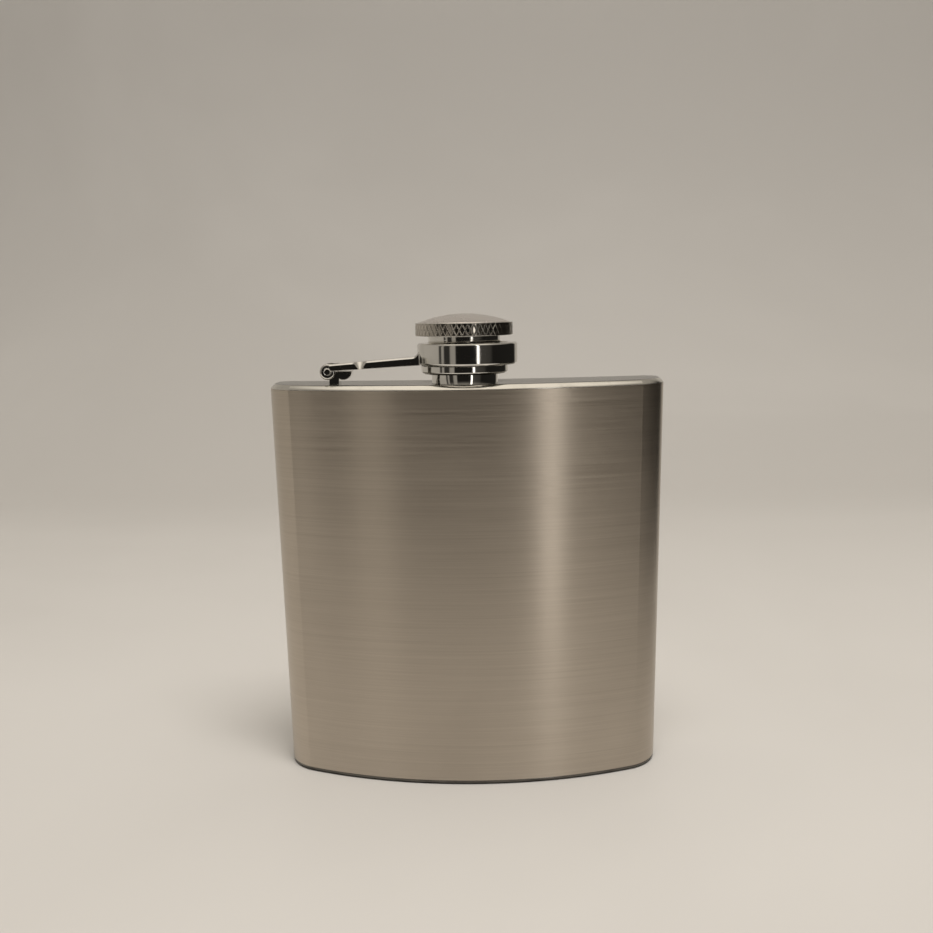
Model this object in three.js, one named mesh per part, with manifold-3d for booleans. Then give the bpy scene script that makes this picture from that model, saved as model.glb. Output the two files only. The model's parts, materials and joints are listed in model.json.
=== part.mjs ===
// A pocket hip flask: a kidney-section steel bottle whose screw cap is held captive by a collar on a
// hinged arm. Millimetres, +Z up. The origin is on the table under the middle of the flask, the bulging
// front faces -Y and the cap's hinge is on the -X side of the neck.
import * as THREE from "three";
import { mergeVertices } from "three/addons/utils/BufferGeometryUtils.js";
import Module from "manifold-3d";

const wasm = await Module();
wasm.setup();

// Body: a tapering sleeve closed by a pressed plate at each end.
const BODY_HEIGHT = 93.8;
const TOP_WIDTH = 94;
const BASE_WIDTH = 89.7;
const MID_THICKNESS = 21;
const FRONT_RADIUS = 99;
const BACK_RADIUS = 190;
const FRONT_CORNER = 8.5;
const BACK_CORNER = 4;
const SHEET = 0.6;
const TOP_RIM = 1.2;
const BASE_RIM = 1;

// Neck and screw thread.
const NECK_RADIUS = 7.7;
const NECK_BORE = 5.8;
const NECK_FLANGE_RADIUS = 9;
const NECK_SHOULDER = 2.6; // height of the plain part above the body
const NECK_HEIGHT = 8.2;
const THREAD_PITCH = 1.5;
const NECK_THREAD_ROOT = 6.3;
const NECK_THREAD_TOP = 6.6; // the neck is plain again above this
const THREAD_DEPTH = 0.42;

// Cap, measured up from the top of the body.
const SHANK_RADIUS = 8.35;
const SHANK_BORE = 7.9;
const SHANK_BOTTOM = 2.1;
const HEAD_RADIUS = 11.25;
const HEAD_BOTTOM = 10.8;
const HEAD_TOP = 13.75;
const DOME_RADIUS = 10.7;
const DOME_RISE = 2;
const INSERT_RADIUS = 7.8;
const INSERT_BOTTOM = 2.8; // just above the shoulder of the neck
const INSERT_THREAD_ROOT = 7.55;
const GASKET_RADIUS = 7.6;
const GASKET_THICKNESS = 1.1;

// Captive collar and the ring under it, measured up from the top of the body.
const COLLAR_RADIUS = 11.6;
const COLLAR_OFFSET = 0.7; // the loose collar hangs this far off the neck's axis
const COLLAR_BORE = 9.3;
const COLLAR_POCKET = 11.05;
const COLLAR_BOTTOM = 4.2;
const COLLAR_TOP = 9.2;
const COLLAR_LIP = 0.8;
const RING_RADIUS = 10.05;
const RING_TOP = 4.1;

// Hinge and arm, measured from the pin, which lies along Y.
const PIN_X = -31.5;
const PIN_HEIGHT = 3; // above the top of the body
const PIN_RADIUS = 0.6;
const EYE_RADIUS = 1.85;
const FORK_HALF_WIDTH = 3.9;
const KNUCKLE_HALF_WIDTH = 1.9;
const KNUCKLE_RADIUS = 1.7;
const SCALLOP_RADIUS = 1.3;
const SCALLOP_X = 7.6;

const GAP = 0.1; // between pieces that are fixed together
const RUNNING_GAP = 0.05;
const TURNED_SEGMENTS = 40;
const OUTLINE_SEGMENTS = 6;
const THREAD_ROWS_PER_TURN = 4;

// Depth from the front of the bottle to the tips of its back corners, and the depth that the collar adds.
const backCornerX = TOP_WIDTH / 2 - BACK_CORNER;
const backCornerDrop = Math.sqrt((BACK_RADIUS + BACK_CORNER) ** 2 - backCornerX ** 2);
const BODY_DEPTH = MID_THICKNESS + BACK_RADIUS - backCornerDrop + BACK_CORNER;
const COLLAR_OVERHANG = COLLAR_RADIUS - MID_THICKNESS / 2;
const FRONT_Y = COLLAR_OVERHANG - (BODY_DEPTH + COLLAR_OVERHANG) / 2;
const NECK_Y = FRONT_Y + MID_THICKNESS / 2;
const PIN_Z = BODY_HEIGHT + PIN_HEIGHT;

// Geometry helpers ------------------------------------------------------------------------------------

function solid(geometry) {
  const bare = geometry.clone();
  bare.deleteAttribute("normal");
  bare.deleteAttribute("uv");
  const merged = mergeVertices(bare, 1e-4);
  return new wasm.Manifold(
    new wasm.Mesh({
      numProp: 3,
      vertProperties: new Float32Array(merged.attributes.position.array),
      triVerts: new Uint32Array(merged.index.array),
    }),
  );
}

function geometryOf(manifold) {
  const mesh = manifold.getMesh();
  const geometry = new THREE.BufferGeometry();
  geometry.setAttribute("position", new THREE.BufferAttribute(mesh.vertProperties, mesh.numProp));
  geometry.setIndex(new THREE.BufferAttribute(mesh.triVerts, 1));
  geometry.computeVertexNormals();
  return geometry;
}

// The kidney outline at the body's widest level, `inset` inside the outer skin: the front bulges towards -Y,
// the back is hollow, and each corner is an arc that touches its neighbours.
function kidneyOutline(target, inset) {
  const frontCentre = FRONT_Y + FRONT_RADIUS;
  const backCentre = FRONT_Y + MID_THICKNESS + BACK_RADIUS;
  const front = FRONT_RADIUS - inset;
  const back = BACK_RADIUS + inset;
  const frontCorner = FRONT_CORNER - inset;
  const backCorner = BACK_CORNER - inset;
  const frontX = TOP_WIDTH / 2 - FRONT_CORNER;
  const backX = TOP_WIDTH / 2 - BACK_CORNER;
  const frontTurn = Math.asin(frontX / (FRONT_RADIUS - FRONT_CORNER));
  const backTurn = Math.asin(backX / (BACK_RADIUS + BACK_CORNER));
  const frontY = frontCentre - (FRONT_RADIUS - FRONT_CORNER) * Math.cos(frontTurn);
  const backY = backCentre - (BACK_RADIUS + BACK_CORNER) * Math.cos(backTurn);
  const down = -Math.PI / 2;
  const up = Math.PI / 2;
  target.absarc(0, frontCentre, front, down - frontTurn, down + frontTurn, false);
  target.absarc(frontX, frontY, frontCorner, down + frontTurn, 0, false);
  target.absarc(backX, backY, backCorner, 0, up + backTurn, false);
  target.absarc(0, backCentre, back, down + backTurn, down - backTurn, true);
  target.absarc(-backX, backY, backCorner, up - backTurn, Math.PI, false);
  target.absarc(-frontX, frontY, frontCorner, Math.PI, down - frontTurn + 2 * Math.PI, false);
  return target;
}

// Narrows a piece towards the base, as the body does.
function taper(geometry) {
  const p = geometry.attributes.position;
  for (let i = 0; i < p.count; i++) {
    const width = BASE_WIDTH + ((TOP_WIDTH - BASE_WIDTH) * p.getZ(i)) / BODY_HEIGHT;
    p.setX(i, (p.getX(i) * width) / TOP_WIDTH);
  }
  return geometry;
}

function kidneySlab(inset, low, high, rim = 0) {
  const slab = new THREE.ExtrudeGeometry(kidneyOutline(new THREE.Shape(), inset), {
    depth: high - low - 2 * rim,
    curveSegments: OUTLINE_SEGMENTS,
    bevelEnabled: rim > 0,
    bevelThickness: rim,
    bevelSize: rim,
    bevelOffset: -rim,
    bevelSegments: 3,
  });
  return slab.translate(0, 0, low + rim);
}

// A turned piece from a closed profile of [radius, height] pairs.
function turned(profile) {
  const points = profile.map(([radius, height]) => new THREE.Vector2(radius, height));
  return new THREE.LatheGeometry(points, TURNED_SEGMENTS).rotateX(Math.PI / 2);
}

function rod(radius, halfLength, x, z, segments = 24) {
  return new THREE.CylinderGeometry(radius, radius, 2 * halfLength, segments).translate(x, 0, z);
}

function block(x0, x1, halfWidth, z0, z1) {
  const box = new THREE.BoxGeometry(x1 - x0, 2 * halfWidth, z1 - z0);
  return box.translate((x0 + x1) / 2, 0, (z0 + z1) / 2);
}

// Heights for the rows of vertices that a thread is cut in.
function threadRows(radius, low, high) {
  const count = Math.round(((high - low) / THREAD_PITCH) * THREAD_ROWS_PER_TURN);
  return Array.from({ length: count + 1 }, (_, i) => [radius, low + ((high - low) * i) / count]);
}

// Moves the rows at `radius` out by up to `depth` (in, if it is negative) along a right-handed helix.
function cutThread(geometry, radius, low, high, depth) {
  const p = geometry.attributes.position;
  for (let i = 0; i < p.count; i++) {
    const [x, y, z] = [p.getX(i), p.getY(i), p.getZ(i)];
    if (Math.abs(Math.hypot(x, y) - radius) > 0.01 || z < low || z > high) continue;
    const turns = (z - low) / THREAD_PITCH - Math.atan2(y, x) / (2 * Math.PI);
    const ridge = 1 - Math.abs(2 * (turns - Math.floor(turns)) - 1);
    const fade = Math.min(1, (z - low) / THREAD_PITCH, (high - z) / THREAD_PITCH);
    const scale = 1 + (depth * ridge * fade) / radius;
    p.setXY(i, x * scale, y * scale);
  }
  return geometry;
}

// Body ------------------------------------------------------------------------------------------------

function bodyShell() {
  const outline = kidneyOutline(new THREE.Shape(), 0);
  outline.holes.push(kidneyOutline(new THREE.Path(), SHEET));
  const height = BODY_HEIGHT - TOP_RIM - BASE_RIM;
  const sleeve = new THREE.ExtrudeGeometry(outline, {
    depth: height,
    curveSegments: OUTLINE_SEGMENTS,
    bevelEnabled: false,
  });
  return taper(sleeve.translate(0, 0, BASE_RIM));
}

// A pressed end plate: a slab with a rounded rim, hollowed to the thickness of the sheet on its inner side.
function endPlate(flat, inner, rim) {
  const [low, high] = flat > inner ? [inner, flat] : [flat, inner];
  const beyond = flat > inner ? [low - 2 * rim, high] : [low, high + 2 * rim];
  const rounded = solid(taper(kidneySlab(0, ...beyond, rim)));
  const band = solid(block(-TOP_WIDTH, TOP_WIDTH, TOP_WIDTH, low, high));
  const pocketEdge = flat > inner ? [inner - 1, flat - SHEET] : [flat + SHEET, inner + 1];
  const pocket = solid(taper(kidneySlab(SHEET, ...pocketEdge)));
  return rounded.intersect(band).subtract(pocket);
}

function topPlate() {
  const plate = endPlate(BODY_HEIGHT, BODY_HEIGHT - TOP_RIM, TOP_RIM);
  const hole = new THREE.CylinderGeometry(NECK_RADIUS + GAP, NECK_RADIUS + GAP, 10, TURNED_SEGMENTS);
  hole.rotateX(Math.PI / 2).translate(0, NECK_Y, BODY_HEIGHT);
  return geometryOf(plate.subtract(solid(hole)));
}

function basePlate() {
  return geometryOf(endPlate(0, BASE_RIM, BASE_RIM));
}

function neck() {
  const plateUnderside = BODY_HEIGHT - SHEET - GAP;
  const bottom = plateUnderside - SHEET;
  const shoulder = BODY_HEIGHT + NECK_SHOULDER;
  const top = BODY_HEIGHT + NECK_HEIGHT;
  const threadLow = shoulder + 0.2;
  const threadHigh = BODY_HEIGHT + NECK_THREAD_TOP;
  const profile = [
    [NECK_BORE, bottom],
    [NECK_FLANGE_RADIUS, bottom],
    [NECK_FLANGE_RADIUS, plateUnderside],
    [NECK_RADIUS, plateUnderside],
    [NECK_RADIUS, shoulder - 0.2],
    [NECK_RADIUS - 0.2, shoulder],
    [NECK_THREAD_ROOT, shoulder],
    ...threadRows(NECK_THREAD_ROOT, threadLow, threadHigh),
    [NECK_THREAD_ROOT, top - 0.2],
    [NECK_THREAD_ROOT - 0.2, top],
    [NECK_BORE, top],
    [NECK_BORE, bottom],
  ];
  return cutThread(turned(profile), NECK_THREAD_ROOT, threadLow, threadHigh, THREAD_DEPTH);
}

// Hinge and arm, each modelled about the pin and placed there by the assembly -------------------------

function hingeBracket() {
  const foot = -PIN_HEIGHT;
  const pedestal = block(0.1, 2.4, KNUCKLE_HALF_WIDTH, foot, -0.3);
  const knuckle = rod(KNUCKLE_RADIUS, KNUCKLE_HALF_WIDTH, 0, 0);
  const heelRadius = 2;
  const heelTop = 0.05;
  const heelX = 3.4;
  const heel = solid(rod(heelRadius, KNUCKLE_HALF_WIDTH, heelX, heelTop)).intersect(
    solid(block(heelX - heelRadius, heelX + heelRadius, KNUCKLE_HALF_WIDTH + 1, foot, heelTop)),
  );
  const web = block(0, heelX, KNUCKLE_HALF_WIDTH, -1.2, heelTop);
  const body = solid(pedestal).add(solid(knuckle)).add(heel).add(solid(web));
  const hole = solid(rod(PIN_RADIUS + RUNNING_GAP, FORK_HALF_WIDTH + 1, 0, 0));
  return geometryOf(body.subtract(hole));
}

function hingePin() {
  return rod(PIN_RADIUS, FORK_HALF_WIDTH - GAP, 0, 0);
}

// The arm's side view: a bar that thickens as it climbs from the eye to the collar.
function armSide(length) {
  const flare = length - 2.2;
  const side = new THREE.Shape();
  side.moveTo(0, 0.14);
  side.lineTo(length, 1.27);
  side.lineTo(length, 4.85);
  side.lineTo(length - 1.1, 3.85);
  side.lineTo(flare, 3.1);
  side.lineTo(0, 1.65);
  const bar = new THREE.ExtrudeGeometry(side, { depth: 2 * FORK_HALF_WIDTH, bevelEnabled: false });
  return bar.rotateX(Math.PI / 2).translate(0, FORK_HALF_WIDTH, 0);
}

// An upright drill that scallops one edge of the arm or cuts its seat on the collar.
function drill(radius, x, y, segments) {
  return new THREE.CylinderGeometry(radius, radius, 20, segments).rotateX(Math.PI / 2).translate(x, y, 0);
}

// The arm is as wide as its fork from end to end, but for a scalloped waist behind the fork.
function swingArm() {
  const collarX = COLLAR_OFFSET - PIN_X;
  const length = collarX - COLLAR_RADIUS + 2;
  const eye = rod(EYE_RADIUS, FORK_HALF_WIDTH, 0, 0);
  const cuts = [
    block(-3, 2.2, KNUCKLE_HALF_WIDTH + GAP, -4, 4),
    rod(PIN_RADIUS + RUNNING_GAP, FORK_HALF_WIDTH + 1, 0, 0),
    drill(SCALLOP_RADIUS, SCALLOP_X, FORK_HALF_WIDTH, 24),
    drill(SCALLOP_RADIUS, SCALLOP_X, -FORK_HALF_WIDTH, 24),
    drill(COLLAR_RADIUS + GAP, collarX, 0, 2 * TURNED_SEGMENTS),
  ];
  const whole = solid(armSide(length)).add(solid(eye));
  return geometryOf(cuts.reduce((arm, cut) => arm.subtract(solid(cut)), whole));
}

// Collar, ring and cap, each turned about its own axis and measured up from the top of the body --------

function captiveCollar() {
  const round = 0.5;
  return turned([
    [COLLAR_POCKET, COLLAR_BOTTOM],
    [COLLAR_RADIUS - 0.3, COLLAR_BOTTOM],
    [COLLAR_RADIUS, COLLAR_BOTTOM + 0.3],
    [COLLAR_RADIUS, COLLAR_TOP - round],
    [COLLAR_RADIUS - 0.3 * round, COLLAR_TOP - 0.3 * round],
    [COLLAR_RADIUS - round, COLLAR_TOP],
    [COLLAR_BORE, COLLAR_TOP],
    [COLLAR_BORE, COLLAR_TOP - COLLAR_LIP],
    [COLLAR_POCKET, COLLAR_TOP - COLLAR_LIP],
    [COLLAR_POCKET, COLLAR_BOTTOM],
  ]);
}

function retainingRing() {
  const inner = SHANK_RADIUS + GAP;
  return turned([
    [inner, SHANK_BOTTOM],
    [RING_RADIUS - 1.2, SHANK_BOTTOM],
    [RING_RADIUS - 0.35, SHANK_BOTTOM + 0.5],
    [RING_RADIUS, SHANK_BOTTOM + 1.1],
    [RING_RADIUS, RING_TOP - 0.15],
    [RING_RADIUS - 0.15, RING_TOP],
    [inner, RING_TOP],
    [inner, SHANK_BOTTOM],
  ]);
}

function capHead() {
  const ceiling = NECK_HEIGHT + GAP + GASKET_THICKNESS;
  return turned([
    [0, ceiling],
    [SHANK_BORE, ceiling],
    [SHANK_BORE, SHANK_BOTTOM],
    [SHANK_RADIUS, SHANK_BOTTOM],
    [SHANK_RADIUS, HEAD_BOTTOM],
    [HEAD_RADIUS - 0.2, HEAD_BOTTOM],
    [HEAD_RADIUS, HEAD_BOTTOM + 0.2],
    [HEAD_RADIUS, HEAD_TOP - 0.25],
    [HEAD_RADIUS - 0.25, HEAD_TOP],
    [DOME_RADIUS + GAP, HEAD_TOP],
    [DOME_RADIUS + GAP, HEAD_TOP - 0.5],
    [0, HEAD_TOP - 0.5],
  ]);
}

// The ring pressed into the cap's shank, with the screw thread inside it.
function threadInsert() {
  const threadLow = INSERT_BOTTOM + 0.3;
  const threadHigh = NECK_HEIGHT - 0.3;
  const top = NECK_HEIGHT - 0.1;
  const profile = [
    [INSERT_THREAD_ROOT, INSERT_BOTTOM],
    [INSERT_RADIUS, INSERT_BOTTOM],
    [INSERT_RADIUS, top],
    [INSERT_THREAD_ROOT, top],
    ...threadRows(INSERT_THREAD_ROOT, threadLow, threadHigh).reverse(),
    [INSERT_THREAD_ROOT, INSERT_BOTTOM],
  ];
  return cutThread(turned(profile), INSERT_THREAD_ROOT, threadLow, threadHigh, -THREAD_DEPTH);
}

// The slightly domed disc that is crimped into the top of the cap.
function capDome() {
  const floor = HEAD_TOP - 0.5 + RUNNING_GAP;
  const edge = HEAD_TOP + 0.05;
  const sphere = (DOME_RADIUS ** 2 + DOME_RISE ** 2) / (2 * DOME_RISE);
  const steps = 6;
  const dome = Array.from({ length: steps + 1 }, (_, i) => {
    const radius = DOME_RADIUS * (1 - i / steps);
    return [radius, edge + DOME_RISE - sphere + Math.sqrt(sphere ** 2 - radius ** 2)];
  });
  return turned([[0, floor], [DOME_RADIUS, floor], ...dome]);
}

function capGasket() {
  const low = NECK_HEIGHT + RUNNING_GAP;
  const high = NECK_HEIGHT + GASKET_THICKNESS + RUNNING_GAP;
  return turned([
    [0, low],
    [GASKET_RADIUS - 0.2, low],
    [GASKET_RADIUS, low + 0.2],
    [GASKET_RADIUS, high],
    [0, high],
  ]);
}

// Assembly --------------------------------------------------------------------------------------------

function finish(colour, roughness, metalness) {
  return new THREE.MeshStandardMaterial({ color: colour, roughness, metalness });
}

const brushedSteel = finish(0x9c968a, 0.38, 1);
const polishedSteel = finish(0xc9c7c0, 0.08, 1);
const satinCap = finish(0xb4aca4, 0.32, 1);
const brass = finish(0xb7a06a, 0.3, 1);
const silicone = finish(0xd8d6cf, 0.6, 0);

const flask = new THREE.Group();
const neckAxis = new THREE.Group();
neckAxis.position.set(0, NECK_Y, BODY_HEIGHT);
const pinAxis = new THREE.Group();
pinAxis.position.set(PIN_X, NECK_Y, PIN_Z);
flask.add(neckAxis, pinAxis);

function place(parent, name, geometry, material, x = 0, y = 0) {
  const mesh = new THREE.Mesh(geometry, material);
  mesh.name = name;
  mesh.position.set(x, y, 0);
  parent.add(mesh);
}

place(flask, "body_shell", bodyShell(), brushedSteel);
place(flask, "top_plate", topPlate(), brushedSteel);
place(flask, "base_plate", basePlate(), brushedSteel);
place(flask, "neck", neck(), polishedSteel, 0, NECK_Y);
place(pinAxis, "hinge_bracket", hingeBracket(), polishedSteel);
place(pinAxis, "hinge_pin", hingePin(), polishedSteel);
place(pinAxis, "swing_arm", swingArm(), polishedSteel);
place(neckAxis, "captive_collar", captiveCollar(), polishedSteel, COLLAR_OFFSET);
place(neckAxis, "retaining_ring", retainingRing(), polishedSteel);
place(neckAxis, "cap_head", capHead(), polishedSteel);
place(neckAxis, "cap_dome", capDome(), satinCap);
place(neckAxis, "thread_insert", threadInsert(), brass);
place(neckAxis, "cap_gasket", capGasket(), silicone);

export default flask;
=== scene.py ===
import json
import math

import bmesh
import bpy
from mathutils import Matrix, Vector

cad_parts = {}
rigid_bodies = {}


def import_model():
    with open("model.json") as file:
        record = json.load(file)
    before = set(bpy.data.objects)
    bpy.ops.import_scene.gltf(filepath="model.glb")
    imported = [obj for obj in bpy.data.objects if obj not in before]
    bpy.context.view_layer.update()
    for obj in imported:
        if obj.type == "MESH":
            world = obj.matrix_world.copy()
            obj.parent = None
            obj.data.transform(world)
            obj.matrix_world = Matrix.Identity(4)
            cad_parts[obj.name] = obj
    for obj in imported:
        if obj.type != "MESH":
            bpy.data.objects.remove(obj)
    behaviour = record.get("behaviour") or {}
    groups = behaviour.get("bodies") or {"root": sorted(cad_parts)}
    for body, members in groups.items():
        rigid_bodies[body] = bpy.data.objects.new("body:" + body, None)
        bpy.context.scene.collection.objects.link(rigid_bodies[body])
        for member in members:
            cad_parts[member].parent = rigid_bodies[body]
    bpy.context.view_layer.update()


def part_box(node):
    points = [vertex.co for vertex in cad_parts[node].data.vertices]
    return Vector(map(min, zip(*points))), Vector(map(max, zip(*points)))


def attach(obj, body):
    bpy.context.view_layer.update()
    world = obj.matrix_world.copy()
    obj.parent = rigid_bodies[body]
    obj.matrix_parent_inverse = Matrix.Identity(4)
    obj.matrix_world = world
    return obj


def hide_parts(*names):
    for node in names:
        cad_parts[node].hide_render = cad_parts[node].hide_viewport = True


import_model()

# A pocket hip flask of brushed steel, whose bright screw cap is kept by a collar on a hinged arm.
# Everything is in metres in the frame's axes: +Z up, the bulging front towards -Y, the hinge at -X.

# Lengths: SAME is too small to tell apart, and FIT is the clearance between pieces that fit together.
MM = 0.001
EPSILON = 0.001 * MM
SAME = 0.0001 * MM
FIT = 0.05 * MM
FINE_RELIEF = 0.02 * MM
TURN_STEPS = 128
SHARP_ANGLE = math.radians(38)


def middle(low, high):
    return (low + high) / 2


SHELL_LOW, SHELL_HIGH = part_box("body_shell")
LID_LOW, LID_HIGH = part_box("top_plate")
FOOT_LOW, FOOT_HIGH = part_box("base_plate")
NECK_LOW, NECK_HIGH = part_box("neck")
COLLAR_LOW, COLLAR_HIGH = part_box("captive_collar")
RING_LOW, RING_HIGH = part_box("retaining_ring")
HEAD_LOW, HEAD_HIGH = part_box("cap_head")
DOME_LOW, DOME_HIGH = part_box("cap_dome")
INSERT_LOW, INSERT_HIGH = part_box("thread_insert")
SEAL_LOW, SEAL_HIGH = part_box("cap_gasket")
PIN_LOW, PIN_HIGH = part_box("hinge_pin")
ARM_LOW, ARM_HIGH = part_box("swing_arm")
BRACKET_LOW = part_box("hinge_bracket")[0]

# Body. The front turns into its corner bends at CREASE_X, and the sheet is creased there.
TOP_Z = LID_HIGH.z
SHEET = 0.6 * MM
BULGE_RADIUS = 99 * MM
HOLLOW_RADIUS = 190 * MM
CREASE_X = 41.1 * MM
CREASE_TURN = math.radians(5)
BACK_CORNER = 4 * MM
MID_THICKNESS = 21 * MM
TOP_RIM = LID_HIGH.z - LID_LOW.z
BASE_RIM = FOOT_HIGH.z - FOOT_LOW.z
SEAM = 0.07 * MM
BEVEL_RUN = 0.95 * MM
BEVEL_RISE = TOP_RIM - 0.16 * MM
BEVEL_BULGE = 0.1 * MM
BEVEL_ROUNDING = 0.5 * MM

# Neck and cap, whose heights are counted from the top of the body. KNURL_WIDTH is half a groove's
# width as a share of the grooves' pitch.
NECK_AXIS = middle(NECK_LOW, NECK_HIGH)
NECK_RADIUS = 7.7 * MM
NECK_BORE = 5.8 * MM
NECK_SHOULDER = 2.6 * MM
THREAD_PITCH = 1.5 * MM
THREAD_DEPTH = 0.42 * MM
NECK_THREAD_ROOT = 6.3 * MM
NECK_THREAD_TOP = 6.6 * MM
SHANK_RADIUS = 8.35 * MM
SHANK_BORE = 7.9 * MM
HEAD_RADIUS = (HEAD_HIGH.x - HEAD_LOW.x) / 2
HEAD_THICKNESS = 2.95 * MM
KNURL_GROOVES = 54
KNURL_SLANT = math.radians(27)
KNURL_DEPTH = 0.1 * MM
KNURL_WIDTH = 0.115
COLLAR_RADIUS = (COLLAR_HIGH.x - COLLAR_LOW.x) / 2
COLLAR_AXIS = middle(COLLAR_LOW, COLLAR_HIGH)
COLLAR_BORE = 9.3 * MM
COLLAR_POCKET = 11.05 * MM
COLLAR_LIP = 0.8 * MM

# Hinge, whose heights and reaches are counted from the pin's axis
PIN = middle(PIN_LOW, PIN_HIGH)
EYE_RADIUS = 1.85 * MM
KNUCKLE_RADIUS = 1.7 * MM
KNUCKLE_HALF_WIDTH = 1.9 * MM
FORK_HALF_WIDTH = (ARM_HIGH.y - ARM_LOW.y) / 2
ARM_HALF_WIDTH = FORK_HALF_WIDTH - 0.02 * MM
SCALLOP_X = 7.6 * MM
ARM_FOLLOWS = 4 * MM


# Mesh making


def arc(centre, radius, start, end, steps):
    """Points along an arc, with its angles in radians."""
    angles = [start + (end - start) * i / steps for i in range(steps + 1)]
    return [(centre[0] + radius * math.cos(a), centre[1] + radius * math.sin(a)) for a in angles]


def filleted(corners, steps=6):
    """A path through corners given as (u, v, fillet radius), with each corner turned into an arc."""
    path = []
    count = len(corners)
    for i, (u, v, radius) in enumerate(corners):
        here = Vector((u, v))
        if radius <= 0:
            path.append((u, v))
            continue
        before = Vector(corners[i - 1][:2]) - here
        after = Vector(corners[(i + 1) % count][:2]) - here
        before.normalize()
        after.normalize()
        half = before.angle(after) / 2
        reach = radius / math.tan(half)
        inward = (before + after).normalized()
        centre = here + inward * (radius / math.sin(half))
        first = here + before * reach - centre
        last = here + after * reach - centre
        turn = math.atan2(first.x * last.y - first.y * last.x, first.dot(last))
        start = math.atan2(first.y, first.x)
        path += arc(centre, radius, start, start + turn, steps)
    return path


def new_piece(name, points, faces, material, body, replaces=()):
    """A smooth-shaded mesh object that rides on a body, and stands for the CAD nodes it replaces."""
    mesh = bpy.data.meshes.new(name)
    mesh.from_pydata([tuple(p) for p in points], [], faces)
    mesh.validate()
    piece = bpy.data.objects.new(name, mesh)
    bpy.context.scene.collection.objects.link(piece)
    face_outwards(mesh)
    mesh.polygons.foreach_set("use_smooth", [True] * len(mesh.polygons))
    mesh.materials.append(material)
    even = piece.modifiers.new("even_shading", "WEIGHTED_NORMAL")
    even.keep_sharp = True
    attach(piece, body)
    if replaces:
        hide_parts(*replaces)
    return piece


def face_outwards(mesh):
    work = bmesh.new()
    work.from_mesh(mesh)
    bmesh.ops.remove_doubles(work, verts=work.verts, dist=SAME)
    bmesh.ops.recalc_face_normals(work, faces=work.faces)
    work.to_mesh(mesh)
    work.free()


def band_faces(rings, around, closed):
    """Quads between rings of `around` points each; closed joins the last ring to the first."""
    faces = []
    for r in range(rings if closed else rings - 1):
        a, b = r * around, ((r + 1) % rings) * around
        for i in range(around):
            j = (i + 1) % around
            faces.append((a + i, a + j, b + j, b + i))
    return faces


def turned(profile, axis, steps, shape=None):
    """Points and faces of a piece turned about a vertical axis from (radius, height) pairs.

    A profile that doesn't start and end on the axis closes on itself. shape(radius, angle, height)
    may give each point a radius of its own.
    """
    on_axis = profile[0][0] < SAME
    rows = profile[1:-1] if on_axis else profile
    points = []
    for radius, height in rows:
        for i in range(steps):
            a = 2 * math.pi * i / steps
            r = shape(radius, a, height) if shape else radius
            points.append((axis.x + r * math.cos(a), axis.y + r * math.sin(a), height))
    faces = band_faces(len(rows), steps, not on_axis)
    if on_axis:
        first, last = len(points), len(points) + 1
        end = (len(rows) - 1) * steps
        points += [(axis.x, axis.y, profile[0][1]), (axis.x, axis.y, profile[-1][1])]
        for i in range(steps):
            j = (i + 1) % steps
            faces += [(first, j, i), (last, end + i, end + j)]
    return points, faces


def body_width(level):
    """The body narrows evenly from its top to its base."""
    low, high = FOOT_HIGH.z, SHELL_HIGH.z
    narrow, wide = FOOT_HIGH.x - FOOT_LOW.x, SHELL_HIGH.x - SHELL_LOW.x
    return narrow + (wide - narrow) * (level - low) / (high - low)


def kidney_ring(inset, level):
    """A ring of points round the body's kidney section, at one height and `inset` in from the skin.

    The arcs on both sides stop a little short of the crease, and more so at a deep inset, so that
    their points stay in order.
    """
    half = body_width(TOP_Z) / 2
    front_y = SHELL_LOW.y + BULGE_RADIUS
    back_x, back_y = half - BACK_CORNER, SHELL_LOW.y + MID_THICKNESS + HOLLOW_RADIUS
    front_turn = math.asin(CREASE_X / BULGE_RADIUS)
    back_turn = math.asin(back_x / (HOLLOW_RADIUS + BACK_CORNER))
    crease_y = front_y - BULGE_RADIUS * math.cos(front_turn)
    bend_turn = front_turn + CREASE_TURN
    bend = (half - CREASE_X) / (1 - math.sin(bend_turn))
    bend_centre = (half - bend, crease_y + bend * math.cos(bend_turn))
    back_centre = (back_x, back_y - (HOLLOW_RADIUS + BACK_CORNER) * math.cos(back_turn))
    mid_turn = front_turn + CREASE_TURN / 2
    down, up = -math.pi / 2, math.pi / 2
    beside = 0.06 * MM + inset * CREASE_TURN / 2
    gap, bend_gap = beside / BULGE_RADIUS, beside / bend
    reach = front_turn - gap
    front = arc((0, front_y), BULGE_RADIUS - inset, down - reach, down + reach, 96)
    right = [(CREASE_X - inset * math.sin(mid_turn), crease_y + inset * math.cos(mid_turn))]
    right += arc(bend_centre, bend - inset, down + bend_turn + bend_gap, 0, 14)
    right += arc(back_centre, BACK_CORNER - inset, 0, up + back_turn, 14)
    left = [(-x, y) for x, y in reversed(right)]
    back = arc((0, back_y), HOLLOW_RADIUS + inset, down + back_turn, down - back_turn, 64)
    narrowing = body_width(level) / body_width(TOP_Z)
    ring = front + right[:-1] + back[:-1] + left
    return [Vector((x * narrowing, y, level)) for x, y in ring]


def ring_towards(ring, centre, radius, share, level):
    """A ring part of the way from an outline to a circle round `centre`, for a plate with a hole."""
    points = []
    for p in ring:
        out = Vector((p.x - centre.x, p.y - centre.y, 0))
        rim = centre + out.normalized() * radius
        mixed = Vector((p.x, p.y, 0)).lerp(Vector((rim.x, rim.y, 0)), share)
        points.append(Vector((mixed.x, mixed.y, level)))
    return points


def lofted(rings, closed=True):
    points = [p for ring in rings for p in ring]
    return points, band_faces(len(rings), len(rings[0]), closed)


def spread(low, high, steps):
    return [low + (high - low) * i / steps for i in range(steps + 1)]


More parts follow.
